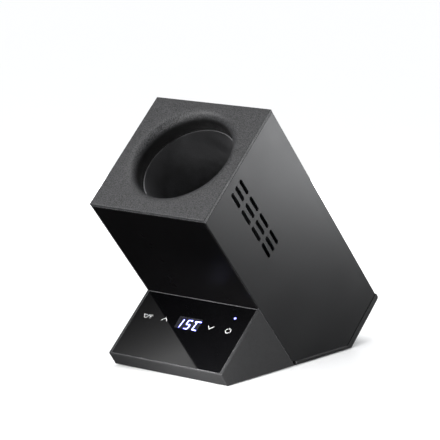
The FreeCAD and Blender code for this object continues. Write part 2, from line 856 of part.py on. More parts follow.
# ---- fan, cabinet frame ----
fan_screw_places = [(sx * fan_screw_offset, fan_centre + sy * fan_screw_offset)
                    for sx in (-1, 1) for sy in (-1, 1)]
bearing_outer = 3.0
housing_outer = 4.4
magnet_inner = 11.6
magnet_outer = 12.7
frame_corner = 3.0
frame_waist = 1.4           # wall left round the bore between the frame's two flanges
frame_flange = 3.0
frame_post = 4.0
frame_screw_clear = 1.9
strut_half = 1.2
strut_thickness = 2.2
stator_base = 12.5
stator_core = 6.4
shoe_inner = 9.2
shoe_outer = 11.0
shoe_half = 5.2
hub_rounding = 1.0
shaft_boss = 3.4
hub_low = fan_bottom + 0.8
hub_high = fan_top - 3.2


def fan_rod(z0, z1, radius):
    return rod(0, fan_centre, z0, z1, radius)


def fan_tube(z0, z1, inner, outer):
    return tube(0, fan_centre, z0, z1, inner, outer)


def fan_frame():
    half = fan_side / 2
    block = box(-half, half, fan_centre - half, fan_centre + half, fan_bottom, fan_top)
    block = soften(block, frame_corner, lambda e: abs(e.Vertexes[0].Z - e.Vertexes[1].Z) > 5)
    block = block.cut(fan_rod(fan_bottom - 1, fan_top + 1, fan_bore))
    waist = box(-half - 1, half + 1, fan_centre - half - 1, fan_centre + half + 1,
                fan_bottom + frame_flange, fan_top - frame_flange)
    waist = waist.cut(fan_rod(fan_bottom, fan_top, fan_bore + frame_waist))
    posts = group([rod(x, y, fan_bottom, fan_top, frame_post) for x, y in fan_screw_places])
    block = block.cut(waist.cut(posts))
    base = fan_rod(fan_top - strut_thickness, fan_top, stator_base)
    struts = []
    for i in range(4):
        strut = box(11, fan_bore + 0.8, fan_centre - strut_half, fan_centre + strut_half,
                    fan_top - strut_thickness, fan_top)
        strut.rotate(Vector(0, fan_centre, 0), Vector(0, 0, 1), 45 + 90 * i)
        struts.append(strut)
    housing = fan_tube(hub_low + 2.4, fan_top - 1, bearing_outer, housing_outer)
    frame = join([block, base, housing] + struts)
    holes = [fan_rod(hub_low + 1, fan_top - 1.0, bearing_outer)]
    holes += [rod(x, y, fan_bottom - 1, fan_top + 1, frame_screw_clear) for x, y in fan_screw_places]
    return cut_all(frame, holes)


def fan_bearing():
    return fan_tube(hub_low + 2.4, fan_top - 2.4, shaft_radius + bearing_clearance, bearing_outer)


def fan_stator():
    low = hub_low + 3.2
    high = fan_top - 3.4
    core = fan_tube(low, high, housing_outer, stator_core)
    poles = []
    for i in range(4):
        arm = box(5.8, 9.4, fan_centre - 1.7, fan_centre + 1.7, low + 0.8, high - 0.8)
        shoe = fan_tube(low, high, shoe_inner, shoe_outer).common(
            box(5, 12, fan_centre - shoe_half, fan_centre + shoe_half, low - 1, high + 1))
        pole = arm.fuse(shoe)
        pole.rotate(Vector(0, fan_centre, 0), Vector(0, 0, 1), 90 * i)
        poles.append(pole)
    return join([core] + poles)


# radius, chord and pitch in degrees at the blade's root and tip
blade_sections = ((hub_radius - 0.6, 13.0, 42.0), (blade_tip, 19.0, 26.0))
blade_half_thickness = 0.55


def blade():
    """One blade, lofted from a steep root at the hub to a flatter tip."""
    sections = []
    for radius, chord, pitch in blade_sections:
        lean = math.radians(pitch)
        across = Vector(0, math.cos(lean), math.sin(lean)) * (chord / 2)
        thick = Vector(0, -math.sin(lean), math.cos(lean)) * blade_half_thickness
        middle = Vector(radius, fan_centre, (hub_low + hub_high) / 2)
        corners = [middle - across - thick, middle + across - thick, middle + across + thick,
                   middle - across + thick]
        sections.append(Part.makePolygon(corners + corners[:1]))
    solid = Part.makeLoft(sections, True, True)
    return solid.common(fan_tube(hub_low, hub_high, hub_radius - 0.8, blade_tip))


def fan_rotor():
    hub = fan_rod(hub_low, hub_high, hub_radius)
    hub = soften(hub, hub_rounding, lambda e: e.Closed and e.CenterOfMass.z < hub_low + 0.01)
    hub = hub.cut(fan_rod(hub_low + 1.4, hub_high + 1, magnet_outer))
    hub = hub.fuse(fan_rod(hub_low + 1, hub_low + 2.1, shaft_boss))
    hub = hub.cut(fan_rod(hub_low + 0.6, hub_high, shaft_radius))
    first = blade()
    blades = []
    for i in range(blade_count):
        copy = first.copy()
        copy.rotate(Vector(0, fan_centre, 0), Vector(0, 0, 1), 360.0 * i / blade_count)
        blades.append(copy)
    return join([hub] + blades)


def fan_magnet():
    return fan_tube(hub_low + 1.4, hub_high - 0.4, magnet_inner, magnet_outer)


def fan_shaft():
    return fan_rod(hub_low + 0.6, fan_top - 1.6, shaft_radius)


def fan_screws():
    fastener = screw(1.7, fan_height + 6.0, 3.0, 1.8)
    return group(placed(fastener, Vector(0, 0, -1), Vector(x, y, fan_bottom)) for x, y in fan_screw_places)


# ---- leads, upright frame ----
socket_level = 13.6         # a lead's height where it enters its socket
socket_face = -28.0
power_lead_radius = 1.9
fan_lead_radius = 1.0
peltier_lead_radius = 0.9
sensor_lead_radius = 0.8
bend_share = 0.45           # of the shorter run at each corner, taken by its arc
ribbon_width = 12.0


def lead(points, radius):
    """A round lead along straight runs joined by tangent arcs."""
    edges = []
    start = points[0]
    for i in range(1, len(points) - 1):
        before = points[i - 1] - points[i]
        after = points[i + 1] - points[i]
        turn = math.pi - before.getAngle(after)
        setback = bend_share * min(before.Length, after.Length)
        enter = points[i] + before.normalize() * setback
        leave = points[i] + after.normalize() * setback
        inward = (before + after).normalize()
        bend = setback / math.tan(turn / 2)
        middle = points[i] + inward * (bend / math.cos(turn / 2) - bend)
        edges.append(Part.LineSegment(start, enter).toShape())
        edges.append(Part.Arc(enter, middle, leave).toShape())
        start = leave
    edges.append(Part.LineSegment(start, points[-1]).toShape())
    path = Part.Wire(edges)
    heading = (points[1] - points[0]).normalize()
    ring = Part.Wire(Part.makeCircle(radius, points[0], heading))
    return path.makePipeShell([ring], True, False)


def power_lead():
    return lead([
        cabinet_point(inlet_x, inlet_y, tray_end + inlet_length),
        cabinet_point(inlet_x, inlet_y, -42),
        Vector(53.5, 76, 12.0),
        Vector(53.5, 30, 9.0),
        Vector(50.0, -4, 12.0),
        Vector(37.0, -16, socket_level),
        Vector(37.0, socket_face, socket_level),
    ], power_lead_radius)


def fan_lead():
    return lead([
        cabinet_point(20.0, fan_centre - fan_side / 2, fan_top - 1.5),
        cabinet_point(20.0, fan_centre - fan_side / 2 - 9, fan_top - 1.5),
        Vector(28.0, 24, 9.0),
        Vector(24.0, -10, socket_level),
        Vector(24.0, socket_face, socket_level),
    ], fan_lead_radius)


def peltier_leads():
    leads = []
    level = block_bottom - peltier_height / 2 - 0.6
    for x in (-2.4, 2.4):
        leads.append(lead([
            cabinet_point(x * 3, block_centre - peltier_side / 2, level),
            cabinet_point(x * 3, first_fin - 5, level),
            cabinet_point(x * 2, first_fin - 16, level - 10),
            Vector(x, 7, 9.0),
            Vector(x, -14, socket_level),
            Vector(x, socket_face, socket_level),
        ], peltier_lead_radius))
    return group(leads)


def sensor_lead():
    return lead([
        cabinet_point(sensor_x, sensor_y, block_bottom),
        cabinet_point(sensor_x, sensor_y, block_bottom - 7),
        Vector(-14.0, 9, 9.0),
        Vector(-22.0, -12, socket_level),
        Vector(-22.0, socket_face, socket_level),
    ], sensor_lead_radius)


def board_ribbon():
    """Flat ribbon from the power board's front socket up to the control board."""
    low = board_level + pcb + supply_socket
    start = Vector(0, -77.5, low)
    end = panel_point(0, -61.5, -board_gap - pcb - control_socket)
    half = 0.4
    outline = [
        (start.y - half, start.z),
        (start.y - half, start.z + 2.2),
        (end.y + 1.0, end.z - 1.6),
        (end.y + 1.0 - half, end.z + half),
        (end.y + 1.0 + 3 * half, end.z + half),
        (start.y + half, start.z + 3.2),
        (start.y + half, start.z),
    ]
    return prism(outline, -ribbon_width / 2, ribbon_width / 2)


# ---- all sub-parts ----
nodes = {
    "side_panel_right": from_cabinet(side_panel()),
    "side_panel_left": from_cabinet(mirrored(side_panel())),
    "back_panel": from_cabinet(back_panel()),
    "back_panel_screws": from_cabinet(back_panel_screws()),
    "front_panel": from_cabinet(front_panel()),
    "top_cover": from_cabinet(top_cover()),
    "cover_screws": from_cabinet(cover_screws()),
    "side_rails": from_cabinet(side_rails()),
    "base_tray": from_upright(base_tray()),
    "intake_grille": from_cabinet(intake_grille()),
    "rubber_feet": from_upright(rubber_feet()),
    "tray_screws": from_upright(tray_screws()),
    "corner_pins": from_upright(corner_pins()),
    "dc_inlet": from_upright(dc_inlet()),
    "console_housing": from_upright(console_housing()),
    "touch_glass": from_panel(touch_glass()),
    "glass_tape": from_panel(glass_tape()),
    "control_board": from_panel(control_board()),
    "board_screws": from_panel(board_screws()),
    "display_module": from_panel(display_module()),
    "indicator_leds": from_panel(indicator_leds()),
    "touch_foam_pads": from_panel(touch_foam_pads()),
    "power_board": from_upright(power_board()),
    "power_board_parts": from_upright(power_board_parts()),
    "power_board_screws": from_upright(power_board_screws()),
    "cooling_cup": from_cabinet(cooling_cup()),
    "cup_gasket": from_cabinet(cup_gasket()),
    "bottle_rest_pad": from_cabinet(bottle_rest_pad()),
    "insulation_front": from_cabinet(insulation_half(True)),
    "insulation_rear": from_cabinet(insulation_half(False)),
    "insulation_base": from_cabinet(insulation_base()),
    "temperature_sensor": from_cabinet(temperature_sensor()),
    "cold_block": from_cabinet(cold_block()),
    "peltier_module": from_cabinet(peltier_module()),
    "thermal_pads": from_cabinet(thermal_pads()),
    "heat_sink": from_cabinet(heat_sink()),
    "clamp_screws": from_cabinet(clamp_screws()),
    "support_plate": from_cabinet(support_plate()),
    "fan_frame": from_cabinet(fan_frame()),
    "fan_bearing": from_cabinet(fan_bearing()),
    "fan_stator": from_cabinet(fan_stator()),
    "fan_rotor": from_cabinet(fan_rotor()),
    "fan_magnet": from_cabinet(fan_magnet()),
    "fan_shaft": from_cabinet(fan_shaft()),
    "fan_screws": from_cabinet(fan_screws()),
    "power_lead": from_upright(power_lead()),
    "fan_lead": from_upright(fan_lead()),
    "peltier_leads": from_upright(peltier_leads()),
    "sensor_lead": from_upright(sensor_lead()),
    "board_ribbon": from_upright(board_ribbon()),
}

os.makedirs("parts", exist_ok=True)
for name, shape in nodes.items():
    shape.exportStep("parts/" + name + ".step")
    volumes = [solid.Volume for solid in shape.Solids]
    print(name, len(volumes), "solids", round(sum(volumes)), "mm3", "valid", shape.isValid())
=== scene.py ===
import bpy
import bmesh
import json
import math
from mathutils import Matrix, Vector


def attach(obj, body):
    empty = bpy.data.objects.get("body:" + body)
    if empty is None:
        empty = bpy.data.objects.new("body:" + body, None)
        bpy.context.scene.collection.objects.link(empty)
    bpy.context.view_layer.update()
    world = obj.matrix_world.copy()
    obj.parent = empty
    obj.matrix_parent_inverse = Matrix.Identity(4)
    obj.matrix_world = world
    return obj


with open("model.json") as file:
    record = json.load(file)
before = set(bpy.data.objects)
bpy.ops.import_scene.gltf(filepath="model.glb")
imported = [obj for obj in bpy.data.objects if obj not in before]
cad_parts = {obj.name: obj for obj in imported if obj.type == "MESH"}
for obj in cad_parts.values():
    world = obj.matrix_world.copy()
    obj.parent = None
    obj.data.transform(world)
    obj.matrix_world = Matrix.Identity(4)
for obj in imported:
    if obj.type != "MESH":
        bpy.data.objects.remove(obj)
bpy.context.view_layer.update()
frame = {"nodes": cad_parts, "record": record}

mm = 0.001
nodes = frame["nodes"]
record = frame["record"]

wellMount = [m for m in record["mounts"] if m["name"] == "bottle_well"][0]
wellAxis = Vector(wellMount["axis"])
leanFrame = Matrix.Rotation(math.atan2(-wellAxis.y, wellAxis.z), 4, "X")  # cabinet frame to object frame


def spanIn(node, matrix):
    # lowest and highest corners of a node, measured in a turned frame
    back = matrix.inverted()
    points = [back @ v.co for v in nodes[node].data.vertices]
    low = Vector([min(p[i] for p in points) for i in range(3)])
    high = Vector([max(p[i] for p in points) for i in range(3)])
    return low, high


def glassFrame():
    # Z out of the touch glass, origin at the middle of its upper edge
    faces = nodes["touch_glass"].data.polygons
    biggest = max(faces, key=lambda f: f.area)
    out = biggest.normal if biggest.normal.z > 0 else -biggest.normal
    turn = Matrix.Rotation(math.atan2(-out.y, out.z), 4, "X")
    low, high = spanIn("touch_glass", turn)
    return turn @ Matrix.Translation((0, high.y, high.z))


panelFrame = glassFrame()
print("frames read")

view = {
    "azimuth": 36.603, "elevation": 9.841, "roll": 1.185, "lens": 178.5, "sensor": 36, "reach": 100,
    "place": (1.18684, -1.63001, 0.48031),
}


def makeCamera():
    data = bpy.data.cameras.new("camera")
    data.lens = view["lens"]
    data.sensor_width = view["sensor"]
    data.clip_end = view["reach"]
    camera = bpy.data.objects.new("camera", data)
    bpy.context.scene.collection.objects.link(camera)
    turn = Matrix.Rotation(math.radians(view["azimuth"]), 4, "Z")
    tip = Matrix.Rotation(math.radians(90 - view["elevation"]), 4, "X")
    roll = Matrix.Rotation(math.radians(view["roll"]), 4, "Z")
    camera.matrix_world = Matrix.Translation(view["place"]) @ turn @ tip @ roll
    bpy.context.scene.camera = camera


coolWhite = (0.97, 0.98, 1.0)
plainWhite = (1.0, 1.0, 1.0)
lights = {
    # name: place, aimed at, size across, size up, watts, spread in degrees, colour
    "frontLeft": ((-0.38, -0.62, 0.42), (0, -0.09, 0.22), 0.16, 0.12, 2.8, 180, plainWhite),
    "frontLow": ((0.04, -1.05, 0.13), (0.02, -0.10, 0.08), 0.36, 0.22, 3.0, 180, plainWhite),
    "frontRight": ((0.30, -0.62, 0.17), (0.03, -0.12, 0.08), 0.16, 0.16, 0.9, 180, plainWhite),
    "lipLight": ((0.11, -0.32, 0.035), (0.04, -0.115, 0.01), 0.10, 0.05, 0.30, 50, plainWhite),
    "rightStrip": ((0.62, 0.92, 0.21), (0.06, 0.0, 0.18), 0.40, 0.46, 6.6, 180, coolWhite),
    "leftStrip": ((-0.62, 0.92, 0.24), (-0.06, 0.0, 0.20), 0.40, 0.46, 6.0, 180, coolWhite),
}
stage = {
    "floorSize": 24.0, "floorColour": 0.93, "floorInGloss": 0.04,
    "skyLow": 0.10, "skyHigh": 0.95, "skyInGloss": 0.45, "skyColour": (0.97, 0.985, 1.0),
    "sun": 1.3, "sunAngle": 50,
}


def aimed(place, target):
    away = (Vector(place) - Vector(target)).normalized()
    return Matrix.Translation(place) @ away.to_track_quat("Z", "Y").to_matrix().to_4x4()


def makeLights():
    for name, (place, target, across, up, watts, spread, colour) in lights.items():
        data = bpy.data.lights.new(name, "AREA")
        data.shape = "RECTANGLE"
        data.size = across
        data.size_y = up
        data.energy = watts
        data.color = colour
        data.spread = math.radians(spread)
        lamp = bpy.data.objects.new(name, data)
        bpy.context.scene.collection.objects.link(lamp)
        lamp.matrix_world = aimed(place, target)
        lamp.visible_camera = False
    ceiling = bpy.data.lights.new("ceiling", "SUN")  # a wide soft source straight above
    ceiling.energy = stage["sun"]
    ceiling.angle = math.radians(stage["sunAngle"])
    lamp = bpy.data.objects.new("ceiling", ceiling)
    bpy.context.scene.collection.objects.link(lamp)


def addMath(tree, operation, first, second):
    node = tree.nodes.new("ShaderNodeMath")
    node.operation = operation
    for socket, value in zip(node.inputs, (first, second)):
        if isinstance(value, bpy.types.NodeSocket):
            tree.links.new(value, socket)
        else:
            socket.default_value = value
    return node.outputs[0]


def makeWorld():
    world = bpy.data.worlds.new("studio")
    bpy.context.scene.world = world
    world.use_nodes = True
    tree = world.node_tree
    tree.nodes.clear()
    seen = tree.nodes.new("ShaderNodeBackground")
    seen.inputs["Color"].default_value = (1, 1, 1, 1)
    fill = tree.nodes.new("ShaderNodeBackground")
    fill.inputs["Color"].default_value = (*stage["skyColour"], 1)
    where = tree.nodes.new("ShaderNodeTexCoord")
    split = tree.nodes.new("ShaderNodeSeparateXYZ")
    level = tree.nodes.new("ShaderNodeMapRange")  # dark towards the horizon, light overhead
    level.inputs["To Min"].default_value = stage["skyLow"]
    level.inputs["To Max"].default_value = stage["skyHigh"]
    tree.links.new(where.outputs["Generated"], split.inputs[0])
    tree.links.new(split.outputs["Z"], level.inputs["Value"])
    path = tree.nodes.new("ShaderNodeLightPath")
    gloss = tree.nodes.new("ShaderNodeMapRange")  # mirror reflections see a darker room
    gloss.inputs["To Min"].default_value = 1.0
    gloss.inputs["To Max"].default_value = stage["skyInGloss"]
    tree.links.new(path.outputs["Is Glossy Ray"], gloss.inputs["Value"])
    strength = addMath(tree, "MULTIPLY", level.outputs["Result"], gloss.outputs["Result"])
    tree.links.new(strength, fill.inputs["Strength"])
    mix = tree.nodes.new("ShaderNodeMixShader")
    out = tree.nodes.new("ShaderNodeOutputWorld")
    tree.links.new(path.outputs["Is Camera Ray"], mix.inputs[0])
    tree.links.new(fill.outputs[0], mix.inputs[1])
    tree.links.new(seen.outputs[0], mix.inputs[2])
    tree.links.new(mix.outputs[0], out.inputs[0])


def makeFloor():
    bm = bmesh.new()
    bmesh.ops.create_grid(bm, x_segments=1, y_segments=1, size=stage["floorSize"] / 2)
    mesh = bpy.data.meshes.new("floor")
    bm.to_mesh(mesh)
    bm.free()
    floor = bpy.data.objects.new("floor", mesh)
    bpy.context.scene.collection.objects.link(floor)
    mat = bpy.data.materials.new("floorCard")
    mat.use_nodes = True
    tree = mat.node_tree
    tree.nodes.clear()
    pale = tree.nodes.new("ShaderNodeBsdfDiffuse")
    grey = stage["floorColour"]
    pale.inputs["Color"].default_value = (grey, grey, grey, 1)
    dim = tree.nodes.new("ShaderNodeEmission")
    dim.inputs["Strength"].default_value = stage["floorInGloss"]
    path = tree.nodes.new("ShaderNodeLightPath")
    mix = tree.nodes.new("ShaderNodeMixShader")
    out = tree.nodes.new("ShaderNodeOutputMaterial")
    tree.links.new(path.outputs["Is Glossy Ray"], mix.inputs[0])
    tree.links.new(pale.outputs[0], mix.inputs[1])
    tree.links.new(dim.outputs[0], mix.inputs[2])
    tree.links.new(mix.outputs[0], out.inputs[0])
    mesh.materials.append(mat)


card = {
    "place": (-0.80, -0.27, 1.15), "size": 0.5,
    "level": 1.2, "acrossRate": 11.9, "upRate": -21.8, "brightest": 2.2,  # brightness, its growth per metre
}


def makeCard():
    # a graded card overhead to the left, seen only as a reflection in the touch glass
    bm = bmesh.new()
    bmesh.ops.create_grid(bm, x_segments=1, y_segments=1, size=card["size"])
    mesh = bpy.data.meshes.new("gradedCard")
    bm.to_mesh(mesh)
    bm.free()
    board = bpy.data.objects.new("gradedCard", mesh)
    bpy.context.scene.collection.objects.link(board)
    board.matrix_world = Matrix.Translation(card["place"])
    board.visible_camera = False
    board.visible_diffuse = False
    board.visible_shadow = False
    mat = bpy.data.materials.new("gradedCard")
    mat.use_nodes = True
    tree = mat.node_tree
    tree.nodes.clear()
    where = tree.nodes.new("ShaderNodeTexCoord")
    split = tree.nodes.new("ShaderNodeSeparateXYZ")
    shine = tree.nodes.new("ShaderNodeEmission")
    out = tree.nodes.new("ShaderNodeOutputMaterial")
    tree.links.new(where.outputs["Object"], split.inputs[0])
    across = addMath(tree, "MULTIPLY", split.outputs["X"], card["acrossRate"])
    up = addMath(tree, "MULTIPLY", split.outputs["Y"], card["upRate"])
    growth = addMath(tree, "EXPONENT", addMath(tree, "ADD", across, up), 0.0)
    level = addMath(tree, "MINIMUM", addMath(tree, "MULTIPLY", growth, card["level"]), card["brightest"])
    tree.links.new(level, shine.inputs["Strength"])
    tree.links.new(shine.outputs[0], out.inputs[0])
    mesh.materials.append(mat)


makeCamera()
makeCard()
makeLights()
makeWorld()
makeFloor()
bpy.context.scene.view_settings.view_transform = "Standard"
print("camera, floor and lights ready")


def newGroup(name, inputs, outputs):
    tree = bpy.data.node_groups.new(name, "ShaderNodeTree")
    for label, value in inputs:
        socket = tree.interface.new_socket(name=label, in_out="INPUT", socket_type="NodeSocketFloat")
        socket.default_value = value
    for label, kind in outputs:
        tree.interface.new_socket(name=label, in_out="OUTPUT", socket_type=kind)
    return tree, tree.nodes.new("NodeGroupInput"), tree.nodes.new("NodeGroupOutput")


grainLook = {"detail": 2.0, "roughness": 0.6, "low": 0.40, "high": 0.60}


def makeGrainGroup():
    # fine even texture of powder coat or spark-eroded plastic, in object space
    tree, given, out = newGroup(
        "surfaceGrain",
        [("Size mm", 0.5), ("Depth mm", 0.02), ("Strength", 0.5)],
        [("Normal", "NodeSocketVector"), ("Mask", "NodeSocketFloat")],
    )
    place = tree.nodes.new("ShaderNodeTexCoord")
    scale = addMath(tree, "DIVIDE", 1000.0, given.outputs["Size mm"])
    fine = tree.nodes.new("ShaderNodeTexNoise")
    fine.inputs["Detail"].default_value = grainLook["detail"]
    fine.inputs["Roughness"].default_value = grainLook["roughness"]
    tree.links.new(place.outputs["Object"], fine.inputs["Vector"])
    tree.links.new(scale, fine.inputs["Scale"])
    bump = tree.nodes.new("ShaderNodeBump")
    tree.links.new(given.outputs["Strength"], bump.inputs["Strength"])
    tree.links.new(addMath(tree, "MULTIPLY", given.outputs["Depth mm"], mm), bump.inputs["Distance"])
    tree.links.new(fine.outputs["Fac"], bump.inputs["Height"])
    tree.links.new(bump.outputs["Normal"], out.inputs["Normal"])
    contrast = tree.nodes.new("ShaderNodeMapRange")
    contrast.inputs["From Min"].default_value = grainLook["low"]
    contrast.inputs["From Max"].default_value = grainLook["high"]
    tree.links.new(fine.outputs["Fac"], contrast.inputs["Value"])
    tree.links.new(contrast.outputs["Result"], out.inputs["Mask"])
    return tree


edgeLook = {"samples": 8, "patches": 45.0}


def makeEdgeGroup():
    # 1 along edges, 0 on flats; the lightening it drives is a painted highlight along the edges, partly real
    # wear
    tree, given, out = newGroup(
        "edgeWearAndSheen", [("Radius mm", 1.0), ("Gain", 3.0)], [("Mask", "NodeSocketFloat")])
    rounded = tree.nodes.new("ShaderNodeBevel")
    rounded.samples = edgeLook["samples"]
    tree.links.new(addMath(tree, "MULTIPLY", given.outputs["Radius mm"], mm), rounded.inputs["Radius"])
    flat = tree.nodes.new("ShaderNodeNewGeometry")
    dot = tree.nodes.new("ShaderNodeVectorMath")
    dot.operation = "DOT_PRODUCT"
    tree.links.new(rounded.outputs["Normal"], dot.inputs[0])
    tree.links.new(flat.outputs["True Normal"], dot.inputs[1])
    turned = addMath(tree, "SUBTRACT", 1.0, dot.outputs["Value"])
    patchy = tree.nodes.new("ShaderNodeTexNoise")
    patchy.inputs["Scale"].default_value = edgeLook["patches"]
    place = tree.nodes.new("ShaderNodeTexCoord")
    tree.links.new(place.outputs["Object"], patchy.inputs["Vector"])
    patches = addMath(tree, "MULTIPLY", patchy.outputs["Fac"], given.outputs["Gain"])
    wearAndSheenAmount = addMath(tree, "MULTIPLY", turned, patches)
    clamp = tree.nodes.new("ShaderNodeClamp")
    tree.links.new(wearAndSheenAmount, clamp.inputs["Value"])
    tree.links.new(clamp.outputs[0], out.inputs["Mask"])
    return tree


smudgeLook = {"detail": 4.0, "distortion": 0.6, "low": 0.3, "high": 0.7}


def makeSmudgeGroup():
    # broad faint unevenness: handling marks on gloss, settling of paint
    tree, given, out = newGroup("smudge", [("Size mm", 25.0), ("Low", 0.0), ("High", 1.0)],
                                [("Value", "NodeSocketFloat")])
    place = tree.nodes.new("ShaderNodeTexCoord")
    broad = tree.nodes.new("ShaderNodeTexNoise")
    broad.inputs["Detail"].default_value = smudgeLook["detail"]
    broad.inputs["Distortion"].default_value = smudgeLook["distortion"]
    tree.links.new(place.outputs["Object"], broad.inputs["Vector"])
    tree.links.new(addMath(tree, "DIVIDE", 1000.0, given.outputs["Size mm"]), broad.inputs["Scale"])
    spread = tree.nodes.new("ShaderNodeMapRange")
    spread.inputs["From Min"].default_value = smudgeLook["low"]
    spread.inputs["From Max"].default_value = smudgeLook["high"]
    tree.links.new(broad.outputs["Fac"], spread.inputs["Value"])
    tree.links.new(given.outputs["Low"], spread.inputs["To Min"])
    tree.links.new(given.outputs["High"], spread.inputs["To Max"])
    tree.links.new(spread.outputs["Result"], out.inputs["Value"])
    return tree


grainGroup = makeGrainGroup()
edgeGroup = makeEdgeGroup()
smudgeGroup = makeSmudgeGroup()


def useGroup(tree, group, **values):
    node = tree.nodes.new("ShaderNodeGroup")
    node.node_tree = group
    for label, value in values.items():
        node.inputs[label.replace("_", " ")].default_value = value
    return node


def mixColour(tree, mask, low, high):
    node = tree.nodes.new("ShaderNodeMix")
    node.data_type = "RGBA"
    for socket, value in ((node.inputs["Factor"], mask), (node.inputs["A"], low), (node.inputs["B"], high)):
        if isinstance(value, bpy.types.NodeSocket):
            tree.links.new(value, socket)
        else:
            socket.default_value = (*value, 1)
    return node.outputs["Result"]


def surface(name, colour, rough, grain, depth, metallic=0.0, specular=0.5, wearAndSheen=0.0, wearAndSheenColour=None,
            edge=1.0, shift=0.12, roughSpread=0.08, strength=0.5):
    # the common build: grain bump, tonal shift with the grain and broad smudges, edges lightened by a
    # painted highlight that is partly real wear
    mat = bpy.data.materials.new(name)
    mat.use_nodes = True
    tree = mat.node_tree
    shader = tree.nodes["Principled BSDF"]
    grainNode = useGroup(tree, grainGroup, Size_mm=grain, Depth_mm=depth, Strength=strength)
    smudgeNode = useGroup(tree, smudgeGroup, Size_mm=40.0, Low=rough - roughSpread, High=rough + roughSpread)
    darker = [c * (1 - shift) for c in colour]
    lighter = [min(1.0, c * (1 + shift)) for c in colour]
    tone = mixColour(tree, grainNode.outputs["Mask"], darker, lighter)
    # painted highlight along the edges, partly real wear: the edge mask lightens the colour there
    if wearAndSheen > 0:
        edgeNode = useGroup(tree, edgeGroup, Radius_mm=edge, Gain=wearAndSheen)
        tone = mixColour(tree, edgeNode.outputs["Mask"], tone, wearAndSheenColour)
    tree.links.new(tone, shader.inputs["Base Color"])
    tree.links.new(smudgeNode.outputs["Value"], shader.inputs["Roughness"])
    tree.links.new(grainNode.outputs["Normal"], shader.inputs["Normal"])
    shader.inputs["Metallic"].default_value = metallic
    shader.inputs["Specular IOR Level"].default_value = specular
    return mat


glowLook = {"size": 1.2, "low": 0.86, "dim": 0.85, "rough": 0.4}


def glow(name, colour, power):
    # lit segment: brighter in its middle, from a soft noise
    mat = bpy.data.materials.new(name)
    mat.use_nodes = True
    tree = mat.node_tree
    shader = tree.nodes["Principled BSDF"]
    smudgeNode = useGroup(tree, smudgeGroup, Size_mm=glowLook["size"], Low=glowLook["low"], High=1.0)
    dim = [c * glowLook["dim"] for c in colour]
    tone = mixColour(tree, smudgeNode.outputs["Value"], dim, colour)
    tree.links.new(tone, shader.inputs["Emission Color"])
    tree.links.new(tone, shader.inputs["Base Color"])
    shader.inputs["Emission Strength"].default_value = power
    shader.inputs["Roughness"].default_value = glowLook["rough"]
    return mat


# painted shade: darkens the collar wall inside the mouth, deeper below the top face
collarPaintedShade = {"from": 4.5, "to": 8.0, "colour": (0.006, 0.006, 0.006)}  # millimetres below the top face


def sparkCover():
    # spark-eroded face; below the rounded lip the collar is darkened to near black, a painted shade
    mat = surface("sparkPlastic", (0.028, 0.028, 0.0297), 0.45, 0.9, 0.26, specular=0.5, wearAndSheen=8.0,
                  wearAndSheenColour=(0.26, 0.26, 0.27), edge=0.6, shift=0.9, strength=1.0)
    tree = mat.node_tree
    shader = tree.nodes["Principled BSDF"]
    toned = shader.inputs["Base Color"].links[0].from_socket
    place = tree.nodes.new("ShaderNodeTexCoord")
    level = tree.nodes.new("ShaderNodeVectorMath")
    level.operation = "DOT_PRODUCT"
    level.inputs[1].default_value = wellAxis
    tree.links.new(place.outputs["Object"], level.inputs[0])
    face = spanIn("top_cover", leanFrame)[1].z
    depth = tree.nodes.new("ShaderNodeMapRange")
    depth.inputs["From Min"].default_value = face - collarPaintedShade["from"] * mm
    depth.inputs["From Max"].default_value = face - collarPaintedShade["to"] * mm
    tree.links.new(level.outputs["Value"], depth.inputs["Value"])
    # painted shade: the colour goes to near black deeper inside the mouth
    tone = mixColour(tree, depth.outputs["Result"], toned, collarPaintedShade["colour"])
    tree.links.new(tone, shader.inputs["Base Color"])
    return mat


boardLook = {"mask": (0.012, 0.09, 0.035), "track": (0.03, 0.19, 0.075), "scale": 90.0, "gap": 0.035}


def circuitBoard():
    # solder mask with fine tracks under it
    mat = surface("circuitBoard", boardLook["mask"], 0.35, 0.4, 0.01, specular=0.5)
    tree = mat.node_tree
    shader = tree.nodes["Principled BSDF"]
    place = tree.nodes.new("ShaderNodeTexCoord")
    tracks = tree.nodes.new("ShaderNodeTexBrick")
    tracks.inputs["Scale"].default_value = boardLook["scale"]
    tracks.inputs["Mortar Size"].default_value = boardLook["gap"]
    tracks.inputs["Color1"].default_value = (0, 0, 0, 1)
    tracks.inputs["Color2"].default_value = (0.15, 0.15, 0.15, 1)
    tracks.inputs["Mortar"].default_value = (1, 1, 1, 1)
    tree.links.new(place.outputs["Object"], tracks.inputs["Vector"])
    tone = mixColour(tree, tracks.outputs["Color"], boardLook["mask"], boardLook["track"])
    tree.links.new(tone, shader.inputs["Base Color"])
    return mat


beadLook = {"scale": 320.0, "depth": 0.3}


def beadFoam():
    # expanded foam: packed beads seen as cells
    mat = surface("beadFoam", (0.012, 0.012, 0.013), 0.9, 1.0, 0.02, specular=0.2)
    tree = mat.node_tree
    shader = tree.nodes["Principled BSDF"]
    place = tree.nodes.new("ShaderNodeTexCoord")
    cells = tree.nodes.new("ShaderNodeTexVoronoi")
    cells.inputs["Scale"].default_value = beadLook["scale"]
    tree.links.new(place.outputs["Object"], cells.inputs["Vector"])
    bump = tree.nodes.new("ShaderNodeBump")
    bump.inputs["Distance"].default_value = beadLook["depth"] * mm
    bump.invert = True
    tree.links.new(cells.outputs["Distance"], bump.inputs["Height"])
    tree.links.new(bump.outputs["Normal"], shader.inputs["Normal"])
    return mat


brushLook = {"scale": 1000.0, "detail": 3.0, "depth": 0.02, "strength": 0.4}


